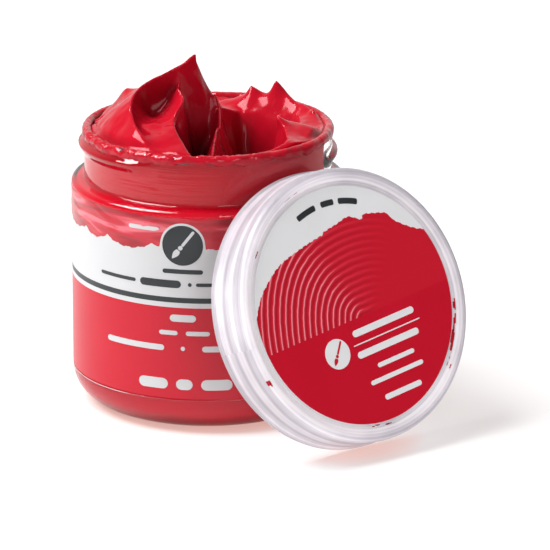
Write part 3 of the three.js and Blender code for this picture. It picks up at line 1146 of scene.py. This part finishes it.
def make_cap_liner():
    low = RECESS_Z - CAP_TOP_THICKNESS - LINER_THICKNESS - 0.02
    high = low + LINER_THICKNESS
    groove_r = NECK_R - 0.8  # where the jar's rim has pressed into the foam
    profile = [
        (0, low),
        *line((2, low), (groove_r - 1.2, low), 8),
        *[(r, low + GROOVE_DEPTH) for r, _ in arc(groove_r, low, GROOVE_HALF_WIDTH, 200, 340, 6)],
        (LINER_R - 0.2, low),
        (LINER_R, low + 0.2),
        (LINER_R, high - 0.15),
        (LINER_R - 0.15, high),
        *line((LINER_R - 1, high), (2, high), 8),
        (0, high),
    ]
    liner = add_mesh("cap_liner_foam", *turned(profile, 160), "liner", "liner_foam", CAP_FRAME)
    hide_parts("cap_liner")
    dress(liner, liner_foam())


# Smears on the cap: degrees anticlockwise from its right, distance from its axis, length, width.
CAP_SMEARS = [
    (112, 27.2, 2.4, 0.25), (146, 26.6, 1.6, 0.2), (-11, 26.8, 5.0, 0.5), (-22, 26.7, 6.0, 0.6),
    (-39, 27.4, 1.6, 0.3), (-86, 26.5, 3.0, 0.25), (-94, 26.4, 2.0, 0.2), (-155, 29.3, 1.8, 0.25),
]

# ------------------ cap label

STICKER_TURN = 8.5
STICKER_THICKNESS = 0.1
SWOOSH_OUTLINE = [
    (-27, 3), (-23, 8.6), (-19.4, 11.6), (-14.9, 14.1), (-8.5, 15.6), (-2.4, 16.5), (-1.6, 16.4),
    (-1.2, 17.0), (2.9, 17.6), (5.4, 18.1), (6.8, 17.9), (9.4, 16.4), (9.9, 17.1), (10.9, 17.2),
    (16, 15.7), (17.2, 13.9), (19.9, 11.6), (23.5, 9.5), (27, 8.8),
]
RED_FIELD_TOP = -2.9
RIDGE_CENTRE = (3.1, -6.5)
RIDGE_PITCH = 1.55
RIDGE_HEIGHT = 0.05
RIDGE_WOBBLE = 0.3
WOBBLES_ROUND = 5
RIDGES_FROM = 50  # degrees anticlockwise from the right, round the ridges' centre
PLAIN_RED, RIDGED, PLAIN_WHITE = range(3)


def on_sticker(along, across, lift):
    """A point of the round label, in the artwork's own axes, which are turned on the cap."""
    return (*rotated(along, across, STICKER_TURN), RECESS_Z + STICKER_THICKNESS + lift)


def swoosh_edge(x):
    """Upper edge of the brushed red, with its torn notches."""
    curve = spline(SWOOSH_OUTLINE, 8)
    height = float(np.interp(x, curve[:, 0], curve[:, 1]))
    return height + 0.1 * math.sin(x * 4.1) + 0.07 * math.sin(x * 9.7)


def ridge_relief(x, y, edge, slant):
    """Concentric brush ridges, strongest on the left."""
    dx, dy = x - RIDGE_CENTRE[0], y - RIDGE_CENTRE[1]
    angle = math.atan2(dy, dx)
    distance = math.hypot(dx, dy) + RIDGE_WOBBLE * math.sin(angle * WOBBLES_ROUND)
    side = smooth_step((math.degrees(angle) - RIDGES_FROM) / 50)
    inside = smooth_step((edge - y) / 0.8) * smooth_step((y - slant) / 0.5)
    return RIDGE_HEIGHT * inside * side * math.sin(distance * 2 * math.pi / RIDGE_PITCH)


def make_sticker():
    columns = 300
    rows_by_region = (10, 110, 12)
    per_column = sum(rows_by_region) + 1 + 2
    vertices = []
    for i in range(columns):
        x = -CAP_LABEL_R * math.cos(math.pi * (i + 0.5) / columns)
        reach = math.sqrt(CAP_LABEL_R**2 - x * x)
        slant = np.clip(RED_FIELD_TOP, -reach, reach)
        edge = np.clip(swoosh_edge(x), slant, reach)
        levels = (-reach, slant, edge, reach)
        rows = [-reach]
        for count, low, high in zip(rows_by_region, levels[:-1], levels[1:]):
            rows += list(np.linspace(low, high, count + 1)[1:])
        for y in rows:
            vertices.append(on_sticker(x, y, ridge_relief(x, y, edge, slant)))
        for y in (reach, -reach):
            vertices.append(on_sticker(x, y, -STICKER_THICKNESS))
    bands = []
    for count, kind in zip(rows_by_region, (PLAIN_RED, RIDGED, PLAIN_WHITE)):
        bands += [kind] * count
    faces, kinds = joined_columns(columns, per_column, bands, PLAIN_WHITE)
    for start, order in ((0, 1), ((columns - 1) * per_column, -1)):
        faces.append(tuple([start + k for k in range(per_column)][::order]))
        kinds.append(PLAIN_WHITE)
    sticker = add_mesh("cap_label_disc", vertices, faces, "cap", "sticker_print", CAP_FRAME)
    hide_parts("cap_label")
    # The cap's inks are brighter than the same inks on the jar: painted light on the cap's face.
    dress(sticker, red_print("sticker_red", 1.12, 0.18), ridged_print(), white_print("sticker_white", 1.45))
    colour_faces(sticker, kinds)


def sticker_place(material):
    """Texture place in the sticker's own axes, in millimetres, inside a material."""
    inverse = (CAP_FRAME @ Matrix.Rotation(math.radians(STICKER_TURN), 4, "Z")).inverted()
    inputs = {
        "Vector": material.place,
        "Location": inverse.to_translation(),
        "Rotation": inverse.to_euler(),
        "Scale": (1 / MM, 1 / MM, 1 / MM),
    }
    return material.node("ShaderNodeMapping", inputs).outputs[0]


def ridged_print():
    """Red with lighter lines along the brush ridges."""
    ink = Material("sticker_ridged", Roughness=0.36, Specular_IOR_Level=0.2)
    x, y, _ = ink.parts(sticker_place(ink))
    dx = ink.math("SUBTRACT", x, RIDGE_CENTRE[0])
    dy = ink.math("SUBTRACT", y, RIDGE_CENTRE[1])
    distance = ink.math("SQRT", ink.square_sum(dx, dy))
    angle = ink.math("ARCTAN2", dy, dx)
    wobble = ink.times(ink.math("SINE", ink.times(angle, WOBBLES_ROUND)), RIDGE_WOBBLE)
    phase = ink.times(ink.plus(distance, wobble), 2 * math.pi / RIDGE_PITCH)
    grain = ink.times(ink.math("SUBTRACT", ink.noise(500, detail=3), 0.5), 1.5)
    wave = ink.math("SINE", ink.plus(phase, grain))
    side = ink.span(angle, math.radians(RIDGES_FROM), math.radians(125))
    strength = ink.plus(0.5, ink.times(ink.times(wave, side), 0.5))
    colours = [
        (0.0, (0.38, 0.003, 0.014)), (0.55, (0.53, 0.005, 0.02)), (0.86, (0.58, 0.02, 0.045)),
        (0.99, (0.74, 0.24, 0.28)),
    ]
    ink.colour(strength, colours)
    ink.set("Coat Weight", 0.12)
    ink.set("Coat Roughness", 0.2)
    return ink


def make_sticker_print():
    """Bars and a badge on the sticker, in the places where a label has words."""
    pale_bars = [
        (5.6, 17.5, -5.9, 1.5), (5.6, 19.0, -8.3, 0.25), (5.0, 17.5, -10.6, 1.5),
        (5.6, 10.5, -14.2, 1.0), (4.6, 15.0, -17.2, 1.0), (4.6, 10.5, -21.2, 1.2),
    ]
    shapes = [thin_shape(bar(*values), on_sticker) for values in pale_bars]
    badge_at, badge_r = (-8.6, -8.4), 3.3
    ring = thin_shape(bar(badge_at[0], 2 * badge_r, badge_at[1], 2 * badge_r, 0.2), on_sticker)
    pale = add_mesh("sticker_marks_pale", *merged([*shapes, ring]), "cap", "sticker_print", CAP_FRAME)
    # Brighter than the jar's pale ink: painted light on the cap's face.
    dress(pale, white_print("sticker_pale", 1.45))

    def on_badge(along, across, lift):
        return on_sticker(along, across, lift + INK)

    icon = brush_icon(badge_at, badge_r * 0.95, on_badge)
    red = add_mesh("sticker_badge_icon", *merged(icon), "cap", "sticker_print", CAP_FRAME)
    # Brighter than the jar's red ink: painted light on the cap's face.
    dress(red, red_print("sticker_icon_red", 1.1))

    def on_arc(along, across, lift):
        return on_sticker(*polar(across, math.radians(along)), lift)

    dark_bars = [(100, 14), (84.5, 9), (70.5, 13)]  # middle and length in degrees
    arcs = [thin_shape(bar(middle, length, 22.6, 1.3, 0.8), on_arc) for middle, length in dark_bars]
    dark = add_mesh("sticker_marks_dark", *merged(arcs), "cap", "sticker_print", CAP_FRAME)
    dress(dark, dark_print("sticker_dark"))


def on_cap_rim(along, across, lift):
    """A point of the cap's top: millimetres round its crest, and distance from its axis."""
    rise = RECESS_DEPTH * np.clip((across - RECESS_R) / (CREST_R - RECESS_R), 0, 1)
    past = np.clip(across - (CAP_SIDE_R - CAP_CORNER_R), 0, 0.95 * CAP_CORNER_R)
    drop = CAP_CORNER_R - math.sqrt(CAP_CORNER_R**2 - past**2)
    return (*polar(across, along / CREST_R), RECESS_Z + rise - drop + lift)


def make_cap_smears():
    """Thin smears of paint that the jar left on the cap's rim and recess."""
    rng = np.random.default_rng(SEED + 9)
    smears = []
    for degrees, radius, length, width in CAP_SMEARS:
        middle = math.radians(degrees) * CREST_R
        for _ in range(4):
            shift = rng.normal(0, 0.35 * length)
            piece = bar(middle + shift, length * rng.uniform(0.3, 0.8), radius + rng.normal(0, 0.25),
                        width * rng.uniform(0.4, 1.0), 0.2)
            ragged = []
            for around, low, high in piece:
                ragged.append((around, low - 0.06 * rng.random(), high + 0.06 * rng.random()))
            smears.append(thin_shape(ragged, on_cap_rim, 0.06))
    made = add_mesh("paint_on_cap", *merged(smears), "cap", "wet_paint", CAP_FRAME)
    dress(made, paint_material("acrylic_on_cap", 0.3, 0.5))


# ------------------ build

make_stage()
make_camera()
make_lights()
make_jar()
make_paint()
make_lip_film()
make_wrap_label()
make_wrap_print()
make_cap()
make_cap_liner()
make_sticker()
make_sticker_print()
make_cap_smears()
